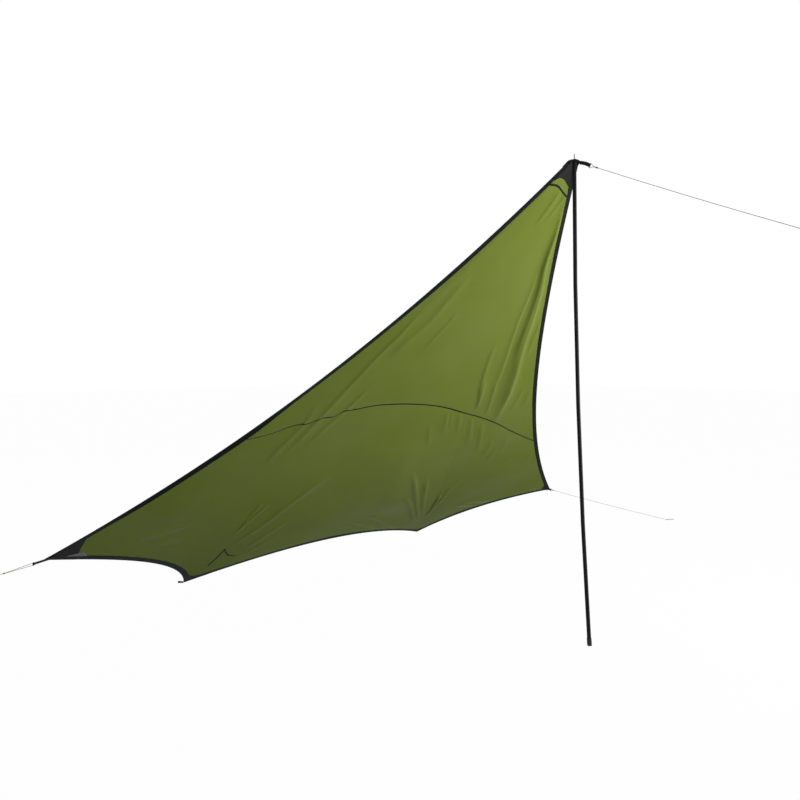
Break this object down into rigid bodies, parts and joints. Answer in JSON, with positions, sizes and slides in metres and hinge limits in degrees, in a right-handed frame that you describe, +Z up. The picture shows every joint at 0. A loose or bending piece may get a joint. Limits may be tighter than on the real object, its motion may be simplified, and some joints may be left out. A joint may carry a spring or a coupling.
{
  "type": "wing tarp",
  "caption": "Five-cornered wing tarp of green cloth with black edge bindings, pitched on one upright sectional pole, two corners on the ground and three on guylines.",
  "frame": {"origin": "centre of the flat underside of the pole's foot cap, on the ground", "axes": "+Z up, +Y from the open front towards the back edge that is pegged down, +X to the right hand of somebody who stands in the opening and looks in, along the wings"},
  "size_m": [5.1902, 3.22, 2.3242],
  "materials": {
    "cloth": "coated woven nylon, matt",
    "tape": "black woven tape",
    "webbing": "black webbing",
    "pole": "black, half gloss",
    "plastic": "black moulded",
    "steel": "plated",
    "cord": "light grey braided cord",
    "tan_cord": "tan braided cord",
    "runner": "olive anodised"
  },
  "bodies": {
    "tarp": {"canopy_upper_panel": "cloth", "canopy_lower_panel": "cloth", "panel_seam": "tape", "binding_left_edge": "tape", "binding_right_edge": "tape", "binding_left_wing": "tape", "back_hem": "tape", "right_wing_hem": "tape", "apex_patch": "tape", "apex_cross_tape": "tape", "apex_beak": "webbing", "apex_eyelet": "steel", "left_wing_patch": "tape", "right_wing_patch": "tape", "left_ground_patch": "tape", "right_ground_patch": "tape", "left_corner_seam": "tape", "apex_guy_strap": "webbing", "left_wing_strap": "webbing", "right_wing_strap": "webbing", "left_peg_loop": "webbing", "right_peg_loop": "webbing", "front_guyline_eye": "cord", "front_guyline_knot": "webbing", "front_guyline": "cord", "front_guyline_end_knot": "cord", "front_guyline_end_loop": "cord", "right_guyline_eye": "cord", "right_guyline_knot": "webbing", "right_guyline": "cord", "right_guyline_end_knot": "cord", "right_guyline_end_loop": "cord", "left_guyline_eye": "cord", "left_guyline_knot": "tan_cord", "left_guyline": "tan_cord", "left_guyline_end_knot": "tan_cord", "left_guyline_end_loop": "tan_cord"},
    "pole_top": {"pole_tip_spike": "steel", "pole_tip_plug": "plastic", "pole_section_1": "pole"},
    "pole_upper_middle": {"pole_section_2": "pole"},
    "pole_lower_middle": {"pole_section_3": "pole"},
    "pole_bottom": {"pole_section_4": "pole", "pole_foot_cap": "plastic"},
    "line_runner": {"left_line_runner": "runner"}
  },
  "joints": [
    {"name": "pole_lean", "type": "hinge", "parent": "tarp", "child": "pole_top", "pos_m": [0.03788, 0.14371, 2.28417], "axis": [1, 0, 0], "range_deg": [-12, 15]},
    {"name": "section_2_pull", "type": "slide", "parent": "pole_top", "child": "pole_upper_middle", "axis": [-0.0166, -0.0356, -0.9992], "range_m": [0, 0.07]},
    {"name": "section_3_pull", "type": "slide", "parent": "pole_upper_middle", "child": "pole_lower_middle", "axis": [-0.0166, -0.0538, -0.9984], "range_m": [0, 0.07]},
    {"name": "section_4_pull", "type": "slide", "parent": "pole_lower_middle", "child": "pole_bottom", "axis": [-0.0165, -0.072, -0.9973], "range_m": [0, 0.07]},
    {"name": "line_runner_slide", "type": "slide", "parent": "tarp", "child": "line_runner", "axis": [-0.9792, 0.0857, -0.184], "range_m": [-0.012, 0.08]}
  ]
}
